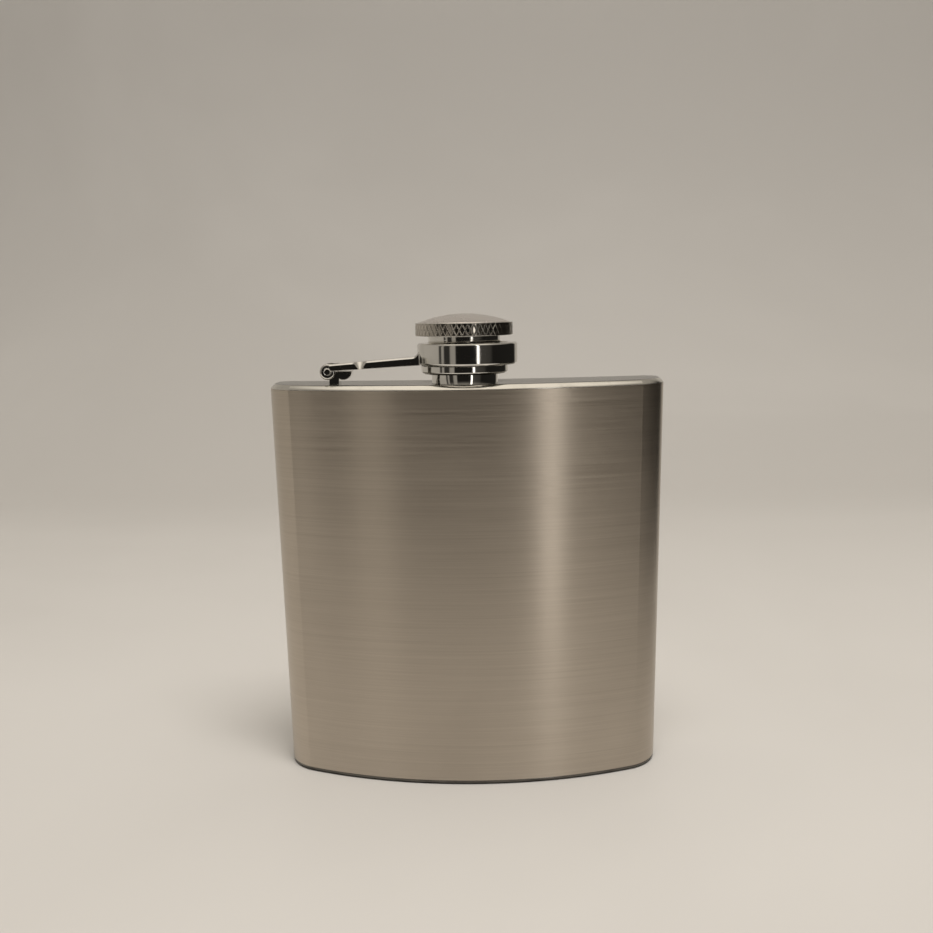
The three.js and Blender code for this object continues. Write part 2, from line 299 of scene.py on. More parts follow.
def close_with_fan(points, faces, start, around, tip):
    """Closes the ring of `around` points that begins at `start` with triangles to one more point."""
    last = len(points)
    points.append(tip)
    faces += [(last, start + i, start + (i + 1) % around) for i in range(around)]


def finish_faces(piece, finish, chosen):
    """Gives a second finish to the faces that chosen(face) picks."""
    piece.data.materials.append(finish)
    for face in piece.data.polygons:
        if chosen(face):
            face.material_index = 1


# Shader groups: effects that several finishes use


def group(name, inputs, outputs):
    """An empty shader node group with named inputs (name, kind, value) and outputs (name, kind)."""
    tree = bpy.data.node_groups.new(name, "ShaderNodeTree")
    for label, kind, value in inputs:
        socket = tree.interface.new_socket(name=label, in_out="INPUT", socket_type=kind)
        socket.default_value = value
    for label, kind in outputs:
        tree.interface.new_socket(name=label, in_out="OUTPUT", socket_type=kind)
    return tree, tree.nodes.new("NodeGroupInput"), tree.nodes.new("NodeGroupOutput")


def node(tree, kind, **settings):
    made = tree.nodes.new(kind)
    for key, value in settings.items():
        setattr(made, key, value)
    return made


def wire(tree, source, target):
    tree.links.new(source, target)


def feed(tree, made, **values):
    """Sets a node's inputs, named or numbered as i0, i1 and so on.

    A socket is wired in, and anything else becomes the input's own value.
    """
    for key, value in values.items():
        numbered = key[0] == "i" and key[1:].isdigit()
        slot = made.inputs[int(key[1:])] if numbered else made.inputs[key]
        if isinstance(value, bpy.types.NodeSocket):
            wire(tree, value, slot)
        else:
            slot.default_value = value
    return made


def math_node(tree, operation, a, b=0.0, c=0.0):
    made = feed(tree, node(tree, "ShaderNodeMath", operation=operation), i0=a, i1=b, i2=c)
    return made.outputs[0]


def vector_math(tree, operation, a, b):
    made = feed(tree, node(tree, "ShaderNodeVectorMath", operation=operation), i0=a, i1=b)
    return made.outputs[0]


def ranged(tree, value, low, high, start=0.0, end=1.0, kind="LINEAR"):
    """Turns the span from start to end into the span from low to high, and holds it there beyond."""
    made = feed(tree, node(tree, "ShaderNodeMapRange", interpolation_type=kind), Value=value)
    limits = {"From Min": start, "From Max": end, "To Min": low, "To Max": high}
    for name, limit in limits.items():
        made.inputs[name].default_value = limit
    return made.outputs[0]


def blend(tree, factor, first, second):
    """Mixes two colours, each a socket or (r, g, b, 1)."""
    made = node(tree, "ShaderNodeMix", data_type="RGBA")
    return feed(tree, made, i0=factor, i6=first, i7=second).outputs[2]


def noise(tree, kind, **values):
    made = feed(tree, node(tree, "ShaderNodeTexNoise", noise_dimensions=kind), **values)
    return made.outputs["Fac"]


FLOAT, VECTOR = "NodeSocketFloat", "NodeSocketVector"


def brush_lines_group():
    """Fine parallel scratches: long noise streaks, thin in the direction they are squeezed in."""
    tree, inside, out = group(
        "brush_lines",
        [("Squeeze", VECTOR, (60, 60, 9000)), ("Coarse", FLOAT, 0.3), ("Seed", FLOAT, 0)],
        [("Height", FLOAT), ("Streaks", FLOAT)],
    )
    place = node(tree, "ShaderNodeTexCoord").outputs["Object"]
    seed = inside.outputs["Seed"]
    squeezed = vector_math(tree, "MULTIPLY", place, inside.outputs["Squeeze"])
    fine = noise(tree, "4D", Vector=squeezed, W=seed, Scale=1.0, Detail=3.0, Roughness=0.6)
    wide = vector_math(tree, "MULTIPLY", squeezed, (0.35, 0.35, 0.22))
    bands = noise(tree, "4D", Vector=wide, W=seed, Scale=1.0, Detail=2.0, Roughness=0.5)
    mix = feed(tree, node(tree, "ShaderNodeMix", data_type="FLOAT"),
               i0=inside.outputs["Coarse"], i2=fine, i3=bands)
    wire(tree, fine, out.inputs["Height"])
    wire(tree, ranged(tree, mix.outputs[0], 0.0, 1.0, 0.3, 0.7), out.inputs["Streaks"])
    return tree


def handling_marks_group():
    """Soft handling marks: cloudy patches about Size across."""
    tree, inside, out = group(
        "handling_marks", [("Size", FLOAT, 0.02), ("Seed", FLOAT, 0)], [("Mask", FLOAT)]
    )
    place = node(tree, "ShaderNodeTexCoord").outputs["Object"]
    scale = math_node(tree, "DIVIDE", 1.0, inside.outputs["Size"])
    clouds = noise(tree, "4D", Vector=place, W=inside.outputs["Seed"], Scale=scale,
                   Detail=4.0, Roughness=0.55, Distortion=0.6)
    wire(tree, ranged(tree, clouds, 0.0, 1.0, 0.42, 0.68, "SMOOTHSTEP"), out.inputs["Mask"])
    return tree


BRUSH_LINES = brush_lines_group()
HANDLING_MARKS = handling_marks_group()


def blank_material(name):
    material = bpy.data.materials.new(name)
    material.use_nodes = True
    tree = material.node_tree
    shader = tree.nodes["Principled BSDF"]
    return material, tree, shader


def use_group(tree, made, **values):
    placed = node(tree, "ShaderNodeGroup", node_tree=made)
    return feed(tree, placed, **values)


def tone(tree, factor, dark, light):
    return blend(tree, factor, (*dark, 1), (*light, 1))


def relief(tree, height, strength, distance):
    made = node(tree, "ShaderNodeBump")
    return feed(tree, made, Height=height, Strength=strength, Distance=distance).outputs[0]


def brushed_steel(name, squeeze, blur_axis, dark, light, smooth, rough, anisotropy, strength, seed,
                  edge_tint=1.0):
    """Steel brushed in one direction. Reflections blur along blur_axis, across the brush lines.

    An edge_tint under 1 dims what the steel reflects at a glancing angle.
    """
    material, tree, shader = blank_material(name)
    lines = use_group(tree, BRUSH_LINES, Squeeze=squeeze, Coarse=0.4, Seed=seed)
    marks = use_group(tree, HANDLING_MARKS, Size=0.03, Seed=seed + 3.0)
    steel = tone(tree, lines.outputs["Streaks"], dark, light)
    wire(tree, steel, shader.inputs["Base Color"])
    wear = math_node(tree, "MULTIPLY", marks.outputs["Mask"], 0.25)
    both = math_node(tree, "MULTIPLY_ADD", lines.outputs["Streaks"], 0.75, wear)
    wire(tree, ranged(tree, both, smooth, rough), shader.inputs["Roughness"])
    shader.inputs["Metallic"].default_value = 1.0
    shader.inputs["Specular Tint"].default_value = (edge_tint, edge_tint, edge_tint, 1)
    shader.inputs["Anisotropic"].default_value = anisotropy
    across = node(tree, "ShaderNodeCombineXYZ")
    feed(tree, across, X=blur_axis[0], Y=blur_axis[1], Z=blur_axis[2])
    wire(tree, across.outputs[0], shader.inputs["Tangent"])
    wire(tree, relief(tree, lines.outputs["Height"], strength, FINE_RELIEF), shader.inputs["Normal"])
    return material


def polished_steel(name, dark, light, smooth, rough, seed):
    """Bright nickel-like polish with faint hairlines and handling marks."""
    material, tree, shader = blank_material(name)
    marks = use_group(tree, HANDLING_MARKS, Size=0.006, Seed=seed)
    hairs = use_group(tree, BRUSH_LINES, Squeeze=(900.0, 900.0, 5200.0), Coarse=0.2, Seed=seed)
    wire(tree, tone(tree, marks.outputs["Mask"], light, dark), shader.inputs["Base Color"])
    wire(tree, ranged(tree, marks.outputs["Mask"], smooth, rough), shader.inputs["Roughness"])
    shader.inputs["Metallic"].default_value = 1.0
    wire(tree, relief(tree, hairs.outputs["Height"], 0.05, 0.01 * MM), shader.inputs["Normal"])
    return material


def spun_steel(name):
    """Satin steel brushed in circles round a vertical axis."""
    material, tree, shader = blank_material(name)
    place = node(tree, "ShaderNodeTexCoord").outputs["Object"]
    offset = vector_math(tree, "SUBTRACT", place, (NECK_AXIS.x, NECK_AXIS.y, 0))
    flat = vector_math(tree, "MULTIPLY", offset, (1, 1, 0))
    reach = feed(tree, node(tree, "ShaderNodeVectorMath", operation="LENGTH"), i0=flat)
    circles = noise(tree, "1D", W=reach.outputs["Value"], Scale=9000.0, Detail=4.0, Roughness=0.6)
    marks = use_group(tree, HANDLING_MARKS, Size=0.008, Seed=5.0)
    wire(tree, tone(tree, circles, (0.82, 0.775, 0.745), (0.94, 0.895, 0.86)),
         shader.inputs["Base Color"])
    wire(tree, ranged(tree, marks.outputs["Mask"], 0.2, 0.3), shader.inputs["Roughness"])
    shader.inputs["Metallic"].default_value = 1.0
    shader.inputs["Anisotropic"].default_value = 0.5
    wire(tree, relief(tree, circles, 0.25, FINE_RELIEF), shader.inputs["Normal"])
    return material


def turned_brass():
    material, tree, shader = blank_material("turned_brass")
    lines = use_group(tree, BRUSH_LINES, Squeeze=(400.0, 400.0, 12000.0), Coarse=0.3, Seed=9.0)
    wire(tree, tone(tree, lines.outputs["Streaks"], (0.62, 0.46, 0.22), (0.78, 0.61, 0.32)),
         shader.inputs["Base Color"])
    wire(tree, ranged(tree, lines.outputs["Streaks"], 0.22, 0.34), shader.inputs["Roughness"])
    shader.inputs["Metallic"].default_value = 1.0
    wire(tree, relief(tree, lines.outputs["Height"], 0.2, FINE_RELIEF), shader.inputs["Normal"])
    return material


def silicone():
    material, tree, shader = blank_material("seal_silicone")
    marks = use_group(tree, HANDLING_MARKS, Size=0.002, Seed=2.0)
    wire(tree, tone(tree, marks.outputs["Mask"], (0.72, 0.71, 0.68), (0.82, 0.81, 0.78)),
         shader.inputs["Base Color"])
    wire(tree, ranged(tree, marks.outputs["Mask"], 0.5, 0.62), shader.inputs["Roughness"])
    shader.inputs["Subsurface Weight"].default_value = 0.15
    shader.inputs["Subsurface Radius"].default_value = (0.001, 0.001, 0.001)
    wire(tree, relief(tree, marks.outputs["Mask"], 0.1, FINE_RELIEF), shader.inputs["Normal"])
    return material


BODY_STEEL = brushed_steel(
    "brushed_body_steel", squeeze=(45.0, 45.0, 7000.0), blur_axis=(0, 0, 1),
    dark=(0.50, 0.44, 0.37), light=(0.62, 0.555, 0.475), smooth=0.28, rough=0.44,
    anisotropy=0.85, strength=0.22, seed=1.0)
PLATE_STEEL = brushed_steel(
    "satin_plate_steel", squeeze=(60.0, 5200.0, 60.0), blur_axis=(0, 1, 0),
    dark=(0.50, 0.49, 0.465), light=(0.58, 0.57, 0.545), smooth=0.12, rough=0.20,
    anisotropy=0.3, strength=0.10, seed=4.0, edge_tint=0.66)
BRIGHT_STEEL = polished_steel(
    "bright_steel", dark=(0.68, 0.665, 0.63), light=(0.76, 0.745, 0.71),
    smooth=0.05, rough=0.12, seed=7.0)
RIM_STEEL = polished_steel(
    "polished_rim_steel", dark=(0.66, 0.64, 0.59), light=(0.74, 0.72, 0.67),
    smooth=0.12, rough=0.2, seed=8.0)
# Near-black steel for the base's rounded edge: painted shade standing in for the dark shadow gap
# along the foot.
FOOT_EDGE_PAINTED_SHADE = polished_steel(
    "foot_edge_painted_shade", dark=(0.09, 0.085, 0.075), light=(0.14, 0.132, 0.118),
    smooth=0.3, rough=0.4, seed=3.0)
# A darker steel that the cap's whole knurled band takes, in place of the bright steel of the rest of
# the cap.
KNURL_STEEL = polished_steel(
    "knurled_steel", dark=(0.44, 0.41, 0.365), light=(0.52, 0.485, 0.435),
    smooth=0.08, rough=0.15, seed=6.0)
DOME_STEEL = spun_steel("spun_dome_steel")
BRASS = turned_brass()
SILICONE = silicone()


# Body pieces


def body_skin():
    low, high = SHELL_LOW.z, SHELL_HIGH.z
    rings = [kidney_ring(SHEET, low), kidney_ring(SEAM, low)]
    rings += [kidney_ring(0, level) for level in spread(low + SEAM, high - SEAM, 24)]
    rings += [kidney_ring(SEAM, high)]
    rings += [kidney_ring(SHEET, level) for level in reversed(spread(low, high, 4)[1:])]
    points, faces = lofted(rings)
    return new_piece("body_skin", points, faces, BODY_STEEL, "flask", ["body_shell"])


def rolled_rim(radius, flat, direction):
    """Rings round a plate's rounded edge, from its seam with the body to its flat side."""
    seam = flat - direction * radius
    rings = [kidney_ring(SEAM, seam)]
    for a in spread(math.asin(SEAM / radius), math.pi / 2, 10):
        level = seam + direction * radius * math.sin(a)
        rings.append(kidney_ring(radius * (1 - math.cos(a)), level))
    return rings


def polished_bevel():
    """Rings up the lid's edge: a nearly straight polished bevel that rounds into the flat."""
    seam = TOP_Z - TOP_RIM
    rings = [kidney_ring(SEAM, seam), kidney_ring(0, seam + SEAM)]
    for share in spread(0, 1, 10)[1:]:
        inset = BEVEL_RUN * share - BEVEL_BULGE * math.sin(math.pi * share)
        rings.append(kidney_ring(inset, seam + SEAM + (BEVEL_RISE - SEAM) * share))
    diagonal = math.pi / 4
    for a in spread(diagonal, math.pi / 2, 5)[1:]:
        reach = (math.cos(diagonal) - math.cos(a)) / math.cos(diagonal)
        lift = (math.sin(a) - math.sin(diagonal)) / (1 - math.sin(diagonal))
        level = seam + BEVEL_RISE + (TOP_RIM - BEVEL_RISE) * lift
        rings.append(kidney_ring(BEVEL_RUN + BEVEL_ROUNDING * reach, level))
    return rings


def lid():
    """The pressed lid, with its polished edge and the hole that the neck comes through."""
    hole = NECK_RADIUS + FIT
    edge = polished_bevel()
    rings = [kidney_ring(SHEET, LID_LOW.z)] + edge
    outline = rings[-1]
    shares = (0.03, 0.1, 0.25, 0.45, 0.7, 0.9, 1)
    rings += [ring_towards(outline, NECK_AXIS, hole, share, TOP_Z) for share in shares]
    under = TOP_Z - SHEET
    rings += [ring_towards(outline, NECK_AXIS, hole, share, under) for share in reversed(shares)]
    points, faces = lofted(rings)
    piece = new_piece("lid", points, faces, PLATE_STEEL, "flask", ["top_plate"])
    satin_bands = 3
    polished = (len(edge) - satin_bands) * len(outline)
    finish_faces(piece, RIM_STEEL, lambda face: face.index < polished)
    return piece


def foot():
    """The pressed base, flat underneath, with its rounded edge painted near-black as shade."""
    centre = Vector((0, middle(FOOT_LOW, FOOT_HIGH).y, 0))
    rings = [kidney_ring(SHEET, FOOT_HIGH.z)] + rolled_rim(BASE_RIM, FOOT_LOW.z, -1)
    outline = rings[-1]
    inner = kidney_ring(BASE_RIM, FOOT_LOW.z + SHEET)
    shares = (0.04, 0.3, 0.65, 0.95)
    rings += [ring_towards(outline, centre, 0, share, FOOT_LOW.z) for share in shares]
    points, faces = lofted(rings, closed=False)
    around = len(outline)
    tip = Vector((centre.x, centre.y, FOOT_LOW.z))
    close_with_fan(points, faces, (len(rings) - 1) * around, around, tip)
    floor_level = FOOT_LOW.z + SHEET
    inside = [inner] + [ring_towards(inner, centre, 0, share, floor_level) for share in shares]
    base = len(points)
    more, more_faces = lofted(inside, closed=False)
    points += more
    faces += [tuple(base + i for i in face) for face in more_faces]
    tip = Vector((centre.x, centre.y, floor_level))
    close_with_fan(points, faces, base + (len(inside) - 1) * around, around, tip)
    faces += [(i, (i + 1) % around, base + (i + 1) % around, base + i) for i in range(around)]
    piece = new_piece("foot", points, faces, PLATE_STEEL, "flask", ["base_plate"])

    def on_edge(face):
        above = EPSILON < face.center.z - FOOT_LOW.z < BASE_RIM
        return above and face.normal.z < -EPSILON

    # The lower rounded edge takes the near-black steel, a painted shade for the dark gap under the
    # flask.
    finish_faces(piece, FOOT_EDGE_PAINTED_SHADE, on_edge)
    return piece


# Neck


def upright_rows(radius, low, high, steps):
    return [(radius, level) for level in spread(low, high, steps)]


def thread_shape(root, low, high, depth):
    """A radius rule that raises a right-handed thread on the rows at the root radius."""

    def shape(radius, angle, height):
        if abs(radius - root) > SAME or not low <= height <= high:
            return radius
        turns = (height - low) / THREAD_PITCH - angle / (2 * math.pi)
        ridge = 1 - abs(2 * (turns - math.floor(turns)) - 1)
        flat_topped = 1.35 * ridge - 0.1
        crest = max(0.0, min(1.0, flat_topped))
        fade = min(1, (height - low) / THREAD_PITCH, (high - height) / THREAD_PITCH)
        return radius + depth * crest * fade

    return shape


def neck():
    """The filler neck: a flange inside the body, a plain shoulder and a thread."""
    shoulder = TOP_Z + NECK_SHOULDER
    thread_low, thread_high = shoulder + 0.2 * MM, TOP_Z + NECK_THREAD_TOP
    flange = (NECK_HIGH.x - NECK_LOW.x) / 2
    under = TOP_Z - SHEET - 0.1 * MM
    lower = filleted([
        (NECK_BORE, NECK_LOW.z, 0.1 * MM),
        (flange, NECK_LOW.z, 0.1 * MM),
        (flange, under, 0.1 * MM),
        (NECK_RADIUS, under, 0),
        (NECK_RADIUS, shoulder, 0.25 * MM),
        (NECK_THREAD_ROOT, shoulder, 0),
    ])
    upper = filleted([
        (NECK_THREAD_ROOT, TOP_Z + NECK_THREAD_TOP + 0.1 * MM, 0),
        (NECK_THREAD_ROOT, NECK_HIGH.z, 0.18 * MM),
        (NECK_BORE, NECK_HIGH.z, 0.18 * MM),
    ])[:-1]
    mouth = [(NECK_BORE, NECK_HIGH.z - 0.2 * MM), (NECK_BORE, NECK_LOW.z + 0.2 * MM)]
    profile = lower + upright_rows(NECK_THREAD_ROOT, thread_low, thread_high, 60) + upper + mouth
    thread = thread_shape(NECK_THREAD_ROOT, thread_low, thread_high, THREAD_DEPTH)
    points, faces = turned(profile, NECK_AXIS, TURN_STEPS, thread)
    return new_piece("filler_neck", points, faces, BRIGHT_STEEL, "flask", ["neck"])


# Hinge


def prism(outline, low, high, at, edge):
    """Points and faces of an outline in X and Z, extruded along Y, with rims rounded by `edge`."""
    count = len(outline)
    bend = [(edge * (1 - c), edge * (1 - w)) for c, w in arc((0, 0), 1, 0, math.pi / 2, 4)]
    levels = [(low + y, inset) for y, inset in bend]
    levels += [(high - y, inset) for y, inset in reversed(bend)]
    points = []
    for y, inset in levels:
        for i, p in enumerate(outline):
            here = Vector(p)
            before = (here - Vector(outline[i - 1])).normalized()
            after = (Vector(outline[(i + 1) % count]) - here).normalized()
            along = (before + after).normalized()
            inward = Vector((-along.y, along.x))
            moved = here + inward * inset
            points.append((at.x + moved.x, at.y + y, at.z + moved.y))
    faces = band_faces(len(levels), count, False)
    faces.append(tuple(range(count)))
    faces.append(tuple(range((len(levels) - 1) * count, len(levels) * count)))
    return points, faces


def rounded_bracket_outline():
    """The bracket from the side: a knuckle round the pin, a round heel under the arm, and a post."""
    post_left, post_right = 0.1 * MM, 2.4 * MM
    heel, heel_radius = (3.4 * MM, 0.05 * MM), 2 * MM
    foot_z = BRACKET_LOW.z - PIN.z
    heel_start = -math.pi + math.acos((heel[0] - post_right) / heel_radius)
    knuckle_start = math.asin(heel[1] / KNUCKLE_RADIUS)
    knuckle_end = 2 * math.pi - math.acos(post_left / KNUCKLE_RADIUS)
    path = [(post_left, foot_z), (post_right, foot_z)]
    path += arc(heel, heel_radius, heel_start, -0.12, 14)
    tip_radius = 0.3 * MM
    tip = (heel[0] + heel_radius - tip_radius - FIT, heel[1] - tip_radius)
    path += arc(tip, tip_radius, 0.2, math.pi / 2, 4)
    path += arc((0, 0), KNUCKLE_RADIUS, knuckle_start, knuckle_end, 26)
    return path


def hinge_bracket():
    half = KNUCKLE_HALF_WIDTH
    points, faces = prism(rounded_bracket_outline(), -half, half, PIN, 0.15 * MM)
    post = new_piece("hinge_post", points, faces, BRIGHT_STEEL, "flask",
                     ["hinge_bracket"])
    post.data.set_sharp_from_angle(angle=SHARP_ANGLE)
    return post


def along_pin(points):
    """Lays the points of a turned piece along the pin's axis."""
    return [(PIN.x + x, PIN.y + z, PIN.z + y) for x, y, z in points]


def hinge_pin():
    radius, corner = (PIN_HIGH.x - PIN_LOW.x) / 2, 0.08 * MM
    half = (PIN_HIGH.y - PIN_LOW.y) / 2 - 0.35 * MM
    profile = [(0, -half), (radius - corner, -half), (radius, -half + corner)]
    profile += [(r, -z) for r, z in reversed(profile)]
    points, faces = turned(profile, Vector((0, 0)), 40)
    pin = new_piece("hinge_pin_visual", along_pin(points), faces, BRIGHT_STEEL, "flask",
                    ["hinge_pin"])
    pin.data.set_sharp_from_angle(angle=SHARP_ANGLE)
    return pin


def apply_boolean(piece, cutter, operation):
    cut = piece.modifiers.new("cut", "BOOLEAN")
    cut.operation = operation
    cut.solver = "EXACT"
    cut.object = cutter
    bpy.context.view_layer.update()
    shaped = piece.evaluated_get(bpy.context.evaluated_depsgraph_get())
    mesh = bpy.data.meshes.new_from_object(shaped)
    piece.modifiers.clear()
    piece.data = mesh
    bpy.data.objects.remove(cutter)


def loose_solid(points, faces):
    mesh = bpy.data.meshes.new("solid")
    mesh.from_pydata([tuple(p) for p in points], [], faces)
    face_outwards(mesh)
    solid = bpy.data.objects.new("solid", mesh)
    bpy.context.scene.collection.objects.link(solid)
    return solid


def arm_heights(x, length):
    """The arm's underside and top, which fillets up into the collar at its end."""
    share = x / length
    bottom = (0.14 + 1.03 * share) * MM
    top = (1.65 + 1.5 * share) * MM
    fillet, lift = 1.6 * MM, 1.3 * MM
    flare = max(0.0, (x - length + fillet) / fillet)
    return bottom, top + lift * flare**2.5


def arm_section(x, length):
    """A rectangle across the arm with its two top edges chamfered.

    Towards the collar it follows the collar's round side.
    """
    half = ARM_HALF_WIDTH
    bottom, top = arm_heights(x, length)
    corner, chamfer = 0.1 * MM, 0.32 * MM
    outline = filleted([
        (-half, bottom, corner), (half, bottom, corner),
        (half, top - chamfer, corner), (half - chamfer, top, corner),
        (chamfer - half, top, corner), (-half, top - chamfer, corner),
    ], 4)
    follow = max(0.0, (x - length + ARM_FOLLOWS) / ARM_FOLLOWS)
    ring = []
    for y, z in outline:
        wrap = COLLAR_RADIUS - math.sqrt(COLLAR_RADIUS**2 - y**2)
        ring.append((PIN.x + x + wrap * follow, PIN.y + y, PIN.z + z))
    return ring


def scallop_cutter(side):
    """A cone, point down, that notches one side of the arm."""
    low, high = PIN.z + 0.3 * MM, PIN.z + 3 * MM
    profile = [(0, low), (0.25 * MM, low), (2.15 * MM, high), (0, high)]
    axis = Vector((PIN.x + SCALLOP_X, PIN.y + side * ARM_HALF_WIDTH))
    points, faces = turned(profile, axis, 64)
    return loose_solid(points, faces)


def arm_eye():
    """The round boss of the eye, bulging at both ends of the pin."""
    half, bulge = FORK_HALF_WIDTH - 0.1 * MM, 0.55 * MM
    profile = filleted([
        (0, -half, 0),
        (EYE_RADIUS, -half, bulge),
        (EYE_RADIUS, half, bulge),
        (0, half, 0),
    ])
    points, faces = turned(profile, Vector((0, 0)), 48)
    return loose_solid(along_pin(points), faces)


def eye_hole():
    """The drill for the pin's hole, flared to countersink both mouths."""
    bore, flare, depth = 0.65 * MM, 0.92 * MM, 0.2 * MM
    mouth, beyond = FORK_HALF_WIDTH - depth, FORK_HALF_WIDTH + depth
    profile = [(0, -beyond), (2 * flare - bore, -beyond), (bore, -mouth)]
    profile += [(r, -z) for r, z in reversed(profile)]
    points, faces = turned(profile, Vector((0, 0)), 48)
    return loose_solid(along_pin(points), faces)


def swing_arm():
    length = COLLAR_AXIS.x - PIN.x - COLLAR_RADIUS + 0.04 * MM
    curved = length - ARM_FOLLOWS
    stations = spread(0.5 * MM, curved, 4) + spread(curved, length, 20)[1:]
    rings = [arm_section(x, length) for x in stations]
    points, faces = lofted(rings, closed=False)
    around = len(rings[0])
    faces.append(tuple(range(around)))
    faces.append(tuple(range((len(rings) - 1) * around, len(rings) * around)))
    arm = new_piece("captive_arm", points, faces, BRIGHT_STEEL, "arm", ["swing_arm"])
    slot_end, clear, cheek = 2.2 * MM, 4 * MM, KNUCKLE_HALF_WIDTH + 0.1 * MM
    slot = [(-clear, -clear), (slot_end, -clear), (slot_end, clear), (-clear, clear)]
    apply_boolean(arm, scallop_cutter(-1), "DIFFERENCE")
    apply_boolean(arm, scallop_cutter(1), "DIFFERENCE")
    apply_boolean(arm, arm_eye(), "UNION")
    apply_boolean(arm, loose_solid(*prism(slot, -cheek, cheek, PIN, 0.01 * MM)), "DIFFERENCE")
    apply_boolean(arm, eye_hole(), "DIFFERENCE")
    arm.data.polygons.foreach_set("use_smooth", [True] * len(arm.data.polygons))
    arm.data.set_sharp_from_angle(angle=SHARP_ANGLE)
    arm.modifiers.new("even_shading", "WEIGHTED_NORMAL").keep_sharp = True
    return arm


# Collar and cap


def collar():
    """The loose ring that keeps the cap. The cap's flange stays under the lip inside it."""
    low, high = COLLAR_LOW.z, COLLAR_HIGH.z
    profile = filleted([
        (COLLAR_POCKET, low, 0.12 * MM),
        (COLLAR_RADIUS, low, 0.55 * MM),
        (COLLAR_RADIUS, high, 0.6 * MM),
        (COLLAR_BORE, high, 0.3 * MM),
        (COLLAR_BORE, high - COLLAR_LIP, 0.1 * MM),
        (COLLAR_POCKET, high - COLLAR_LIP, 0.1 * MM),
    ], 8)
    points, faces = turned(profile, COLLAR_AXIS, 160)
    return new_piece("collar", points, faces, BRIGHT_STEEL, "arm", ["captive_collar"])


def retaining_flange():
    """The rounded flange swaged out at the foot of the cap's shank."""
    inner = SHANK_RADIUS + 0.02 * MM
    outer = (RING_HIGH.x - RING_LOW.x) / 2
    profile = filleted([
        (inner, RING_LOW.z, 0),
        (outer - 0.7 * MM, RING_LOW.z, 0.1 * MM),
        (outer, RING_LOW.z + 0.42 * MM, 0.35 * MM),
        (outer, RING_HIGH.z, 0.2 * MM),
        (inner, RING_HIGH.z, 0),
    ], 10)
    points, faces = turned(profile, NECK_AXIS, TURN_STEPS)
    return new_piece("retaining_flange", points, faces, BRIGHT_STEEL, "cap",
                     ["retaining_ring"])


def knurl(low):
    """A radius rule that cuts two crossing sets of narrow helical grooves into the cap's rim."""
    pitch = 2 * math.pi * HEAD_RADIUS / KNURL_GROOVES

    def groove(position):
        distance = abs(position - math.floor(position) - 0.5)
        return max(0.0, 1 - distance / KNURL_WIDTH)

    def shape(radius, angle, height):
        if abs(radius - HEAD_RADIUS) > SAME:
            return radius
        around = angle * HEAD_RADIUS
        lean = (height - low) * math.tan(KNURL_SLANT)
        cut = max(groove((around + lean) / pitch), groove((around - lean) / pitch))
        return radius - KNURL_DEPTH * cut

    return shape


def cap_head():
    """The cap: a hollow shank with a thick knurled rim on top."""
    ceiling = SEAL_HIGH.z + FIT
    rim_low = HEAD_HIGH.z - HEAD_THICKNESS
    corner = 0.08 * MM
    band_low, band_high = rim_low + corner, HEAD_HIGH.z - corner
    recess = (DOME_HIGH.x - DOME_LOW.x) / 2 + FIT
    recess_floor = HEAD_HIGH.z - 0.5 * MM
    inner = filleted([
        (SHANK_BORE, ceiling, 0.1 * MM),
        (SHANK_BORE, HEAD_LOW.z, 0),
        (SHANK_RADIUS, HEAD_LOW.z, 0),
        (SHANK_RADIUS, rim_low, 0.2 * MM),
        (HEAD_RADIUS - corner, rim_low, 0),
        (HEAD_RADIUS, band_low, 0),
    ])
    band = upright_rows(HEAD_RADIUS, band_low, band_high, 34)
    outer = filleted([
        (HEAD_RADIUS, band_high, 0),
        (HEAD_RADIUS - corner, HEAD_HIGH.z, 0),
        (recess, HEAD_HIGH.z, 0.05 * MM),
        (recess, recess_floor, 0),
    ])
    profile = [(0, ceiling)] + inner[:-1] + band + outer[1:] + [(0, recess_floor)]
    points, faces = turned(profile, NECK_AXIS, 1080, knurl(band_low))
    head = new_piece("knurled_cap", points, faces, BRIGHT_STEEL, "cap", ["cap_head"])

    def on_knurl(face):
        reach = math.hypot(face.center.x - NECK_AXIS.x, face.center.y - NECK_AXIS.y)
        return reach > HEAD_RADIUS - 2 * KNURL_DEPTH and band_low < face.center.z < band_high

    finish_faces(head, KNURL_STEEL, on_knurl)
    return head


def cap_dome():
    radius = (DOME_HIGH.x - DOME_LOW.x) / 2
    edge = HEAD_HIGH.z + FIT
    rise = DOME_HIGH.z - edge
    sphere = (radius**2 + rise**2) / (2 * rise)
    turn = math.asin(radius / sphere)
    crown = arc((0, edge + rise - sphere), sphere, math.pi / 2 - turn, math.pi / 2, 24)
    profile = [(0, DOME_LOW.z), (radius - FIT, DOME_LOW.z), (radius, DOME_LOW.z + FIT)]
    profile += crown[:-1] + [(0, DOME_HIGH.z)]
    points, faces = turned(profile, NECK_AXIS, TURN_STEPS)
    return new_piece("dome", points, faces, DOME_STEEL, "cap", ["cap_dome"])


def thread_insert():
    root, outer = 7.55 * MM, (INSERT_HIGH.x - INSERT_LOW.x) / 2
    low, high = INSERT_LOW.z + 0.3 * MM, INSERT_HIGH.z - 0.2 * MM
    profile = [(root, INSERT_LOW.z), (outer, INSERT_LOW.z)]
    profile += [(outer, INSERT_HIGH.z), (root, INSERT_HIGH.z)]
    profile += reversed(upright_rows(root, low, high, 72))
    thread = thread_shape(root, low, high, -THREAD_DEPTH)
    points, faces = turned(profile, NECK_AXIS, TURN_STEPS, thread)
    return new_piece("cap_thread", points, faces, BRASS, "cap", ["thread_insert"])


